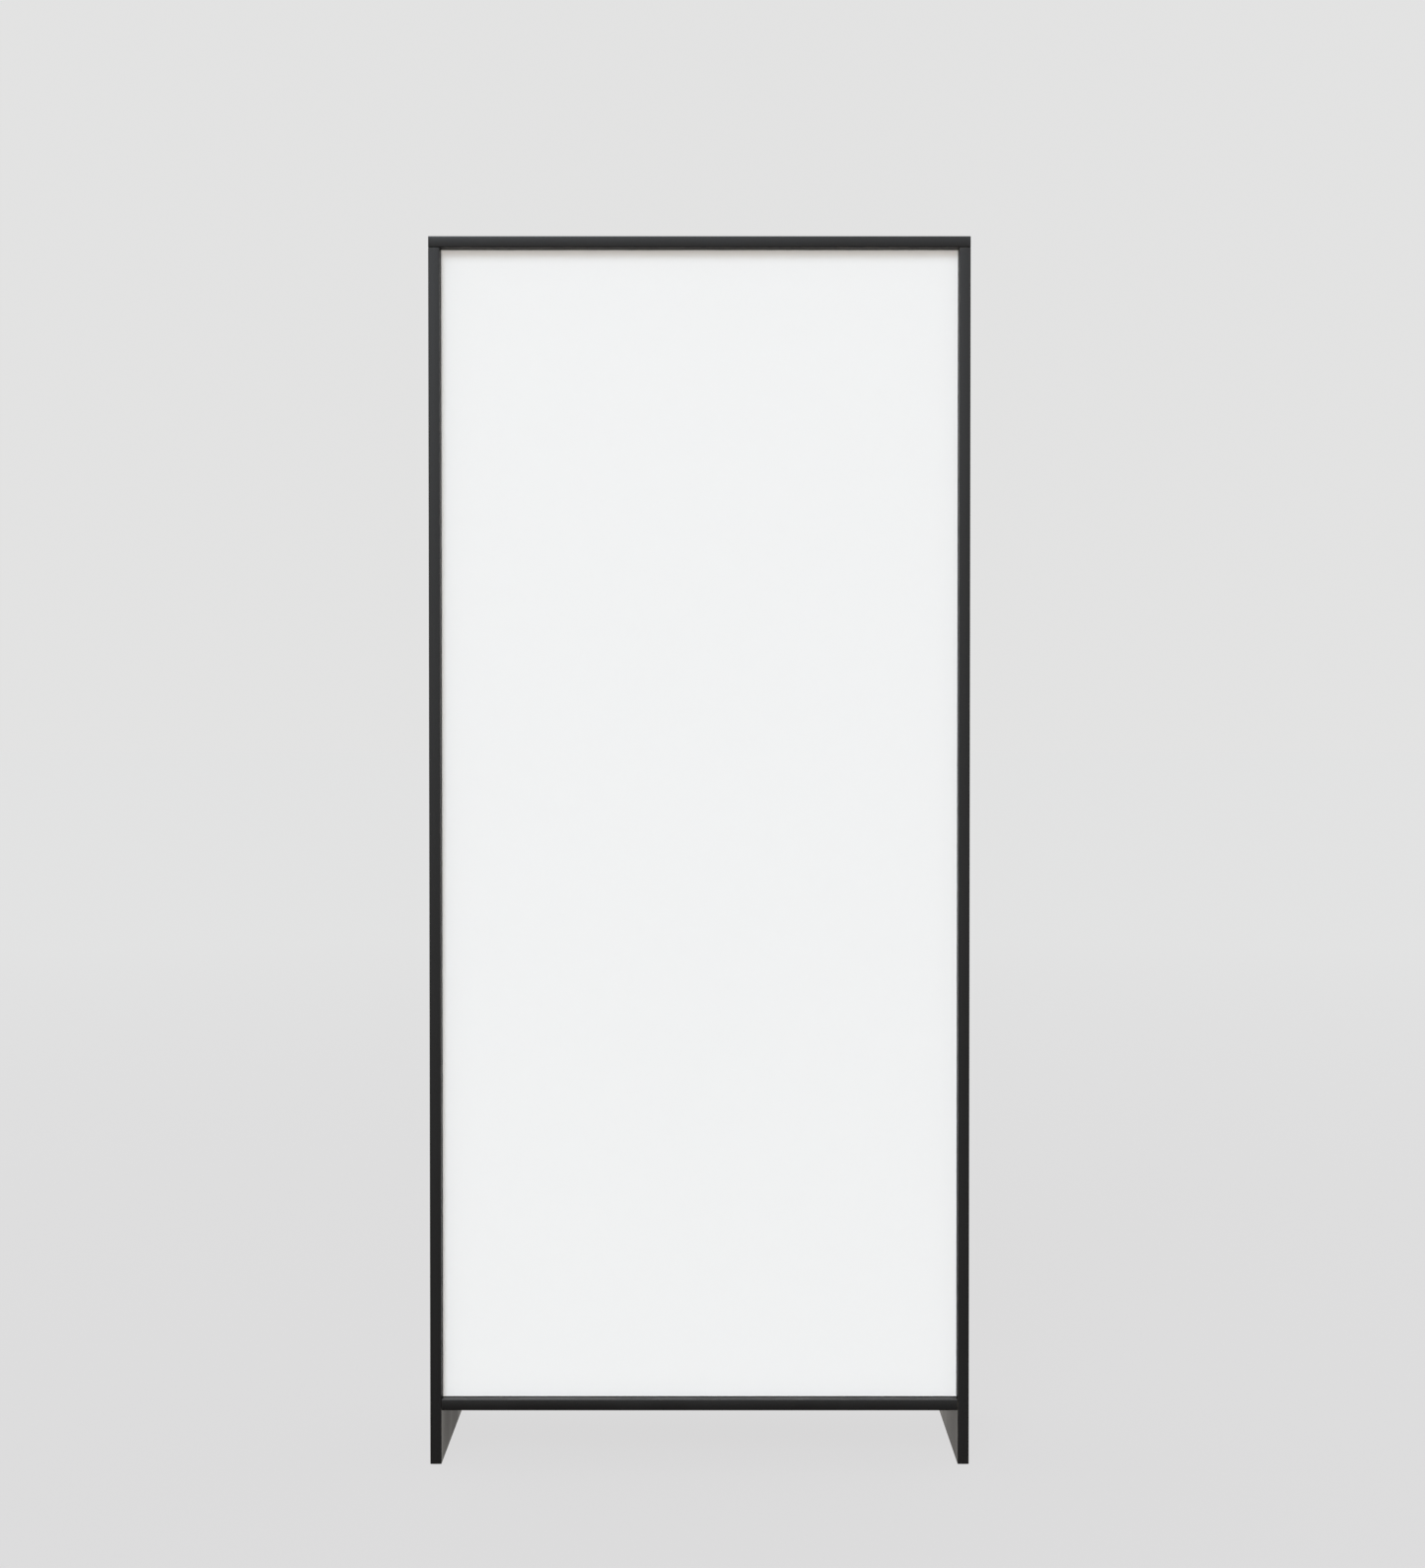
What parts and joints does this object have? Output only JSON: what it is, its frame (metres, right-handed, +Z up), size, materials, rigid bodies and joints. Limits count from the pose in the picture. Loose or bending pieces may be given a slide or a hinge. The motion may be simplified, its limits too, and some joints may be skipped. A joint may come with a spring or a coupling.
{
  "type": "partition wall",
  "caption": "Free-standing tall exhibition partition: a deep black box frame on board legs, with a recessed white display panel on each face, push-in clips, cam fittings and hidden levellers.",
  "frame": {"origin": "on the floor, under the middle of the wall", "axes": "+Z up, -Y out of the front display panel, +X to the right as seen from the front"},
  "size_m": [1.1, 0.4, 2.5],
  "materials": {
    "laminate": "satin black laminate on MDF",
    "paint": "matte white paint on MDF",
    "plywood": "sanded birch plywood",
    "pine": "planed softwood",
    "beech": "fluted hardwood",
    "zinc": "die-cast, bright",
    "steel": "zinc plated",
    "black_nylon": "moulded",
    "white_nylon": "moulded"
  },
  "bodies": {
    "frame": {"left_side": "laminate", "right_side": "laminate", "top_board": "laminate", "bottom_board": "laminate", "lower_rail": "plywood", "middle_rail": "plywood", "upper_rail": "plywood", "batten_front_left": "pine", "leveller_insert_front_left": "zinc", "batten_front_right": "pine", "leveller_insert_front_right": "zinc", "batten_back_left": "pine", "leveller_insert_back_left": "zinc", "batten_back_right": "pine", "leveller_insert_back_right": "zinc", "dowel_top_left": "beech", "bolt_top_front_left": "steel", "bolt_top_back_left": "steel", "dowel_top_right": "beech", "bolt_top_front_right": "steel", "bolt_top_back_right": "steel", "dowel_bottom_left": "beech", "bolt_bottom_front_left": "steel", "bolt_bottom_back_left": "steel", "dowel_bottom_right": "beech", "bolt_bottom_front_right": "steel", "bolt_bottom_back_right": "steel"},
    "front_display": {"front_panel": "paint", "clip_front_left_low": "white_nylon", "clip_front_left_mid": "white_nylon", "clip_front_left_high": "white_nylon", "clip_front_right_low": "white_nylon", "clip_front_right_mid": "white_nylon", "clip_front_right_high": "white_nylon"},
    "back_display": {"back_panel": "paint", "clip_back_left_low": "white_nylon", "clip_back_left_mid": "white_nylon", "clip_back_left_high": "white_nylon", "clip_back_right_low": "white_nylon", "clip_back_right_mid": "white_nylon", "clip_back_right_high": "white_nylon"},
    "foot_front_left": {"leveller_pad_front_left": "black_nylon"},
    "screw_front_left": {"leveller_stem_front_left": "steel"},
    "foot_front_right": {"leveller_pad_front_right": "black_nylon"},
    "screw_front_right": {"leveller_stem_front_right": "steel"},
    "foot_back_left": {"leveller_pad_back_left": "black_nylon"},
    "screw_back_left": {"leveller_stem_back_left": "steel"},
    "foot_back_right": {"leveller_pad_back_right": "black_nylon"},
    "screw_back_right": {"leveller_stem_back_right": "steel"},
    "cam_top_front_left": {"cam_top_front_left": "zinc"},
    "cam_top_front_right": {"cam_top_front_right": "zinc"},
    "cam_top_back_left": {"cam_top_back_left": "zinc"},
    "cam_top_back_right": {"cam_top_back_right": "zinc"},
    "cam_bottom_front_left": {"cam_bottom_front_left": "zinc"},
    "cam_bottom_front_right": {"cam_bottom_front_right": "zinc"},
    "cam_bottom_back_left": {"cam_bottom_back_left": "zinc"},
    "cam_bottom_back_right": {"cam_bottom_back_right": "zinc"}
  },
  "joints": [
    {"name": "front_panel_pull", "type": "slide", "parent": "frame", "child": "front_display", "axis": [0, -1, 0], "range_m": [0, 0.06]},
    {"name": "back_panel_pull", "type": "slide", "parent": "frame", "child": "back_display", "axis": [0, 1, 0], "range_m": [0, 0.06]},
    {"name": "front_left_foot_travel", "type": "slide", "parent": "frame", "child": "foot_front_left", "axis": [0, 0, -1], "range_m": [0, 0.015]},
    {"name": "front_left_screw_turn", "type": "hinge", "parent": "foot_front_left", "child": "screw_front_left", "pos_m": [-0.5385, -0.15, 0], "axis": [0, 0, -1], "range_deg": [0, 4320]},
    {"name": "front_right_foot_travel", "type": "slide", "parent": "frame", "child": "foot_front_right", "axis": [0, 0, -1], "range_m": [0, 0.015]},
    {"name": "front_right_screw_turn", "type": "hinge", "parent": "foot_front_right", "child": "screw_front_right", "pos_m": [0.5385, -0.15, 0], "axis": [0, 0, -1], "range_deg": [0, 4320]},
    {"name": "back_left_foot_travel", "type": "slide", "parent": "frame", "child": "foot_back_left", "axis": [0, 0, -1], "range_m": [0, 0.015]},
    {"name": "back_left_screw_turn", "type": "hinge", "parent": "foot_back_left", "child": "screw_back_left", "pos_m": [-0.5385, 0.15, 0], "axis": [0, 0, -1], "range_deg": [0, 4320]},
    {"name": "back_right_foot_travel", "type": "slide", "parent": "frame", "child": "foot_back_right", "axis": [0, 0, -1], "range_m": [0, 0.015]},
    {"name": "back_right_screw_turn", "type": "hinge", "parent": "foot_back_right", "child": "screw_back_right", "pos_m": [0.5385, 0.15, 0], "axis": [0, 0, -1], "range_deg": [0, 4320]},
    {"name": "cam_top_front_left_turn", "type": "hinge", "parent": "frame", "child": "cam_top_front_left", "pos_m": [-0.5385, -0.0927, 2.443], "axis": [1, 0, 0], "range_deg": [0, 170]},
    {"name": "cam_top_front_right_turn", "type": "hinge", "parent": "frame", "child": "cam_top_front_right", "pos_m": [0.5385, -0.0927, 2.443], "axis": [-1, 0, 0], "range_deg": [0, 170]},
    {"name": "cam_top_back_left_turn", "type": "hinge", "parent": "frame", "child": "cam_top_back_left", "pos_m": [-0.5385, 0.0927, 2.443], "axis": [1, 0, 0], "range_deg": [0, 170]},
    {"name": "cam_top_back_right_turn", "type": "hinge", "parent": "frame", "child": "cam_top_back_right", "pos_m": [0.5385, 0.0927, 2.443], "axis": [-1, 0, 0], "range_deg": [0, 170]},
    {"name": "cam_bottom_front_left_turn", "type": "hinge", "parent": "frame", "child": "cam_bottom_front_left", "pos_m": [-0.493, -0.0927, 0.1215], "axis": [0, 0, 1], "range_deg": [0, 170]},
    {"name": "cam_bottom_front_right_turn", "type": "hinge", "parent": "frame", "child": "cam_bottom_front_right", "pos_m": [0.493, -0.0927, 0.1215], "axis": [0, 0, 1], "range_deg": [0, 170]},
    {"name": "cam_bottom_back_left_turn", "type": "hinge", "parent": "frame", "child": "cam_bottom_back_left", "pos_m": [-0.493, 0.0927, 0.1215], "axis": [0, 0, 1], "range_deg": [0, 170]},
    {"name": "cam_bottom_back_right_turn", "type": "hinge", "parent": "frame", "child": "cam_bottom_back_right", "pos_m": [0.493, 0.0927, 0.1215], "axis": [0, 0, 1], "range_deg": [0, 170]}
  ],
  "couplings": [
    {"joint": "front_left_screw_turn", "follows": "front_left_foot_travel", "rad_per_m": 5026.5},
    {"joint": "front_right_screw_turn", "follows": "front_right_foot_travel", "rad_per_m": 5026.5},
    {"joint": "back_left_screw_turn", "follows": "back_left_foot_travel", "rad_per_m": 5026.5},
    {"joint": "back_right_screw_turn", "follows": "back_right_foot_travel", "rad_per_m": 5026.5}
  ]
}
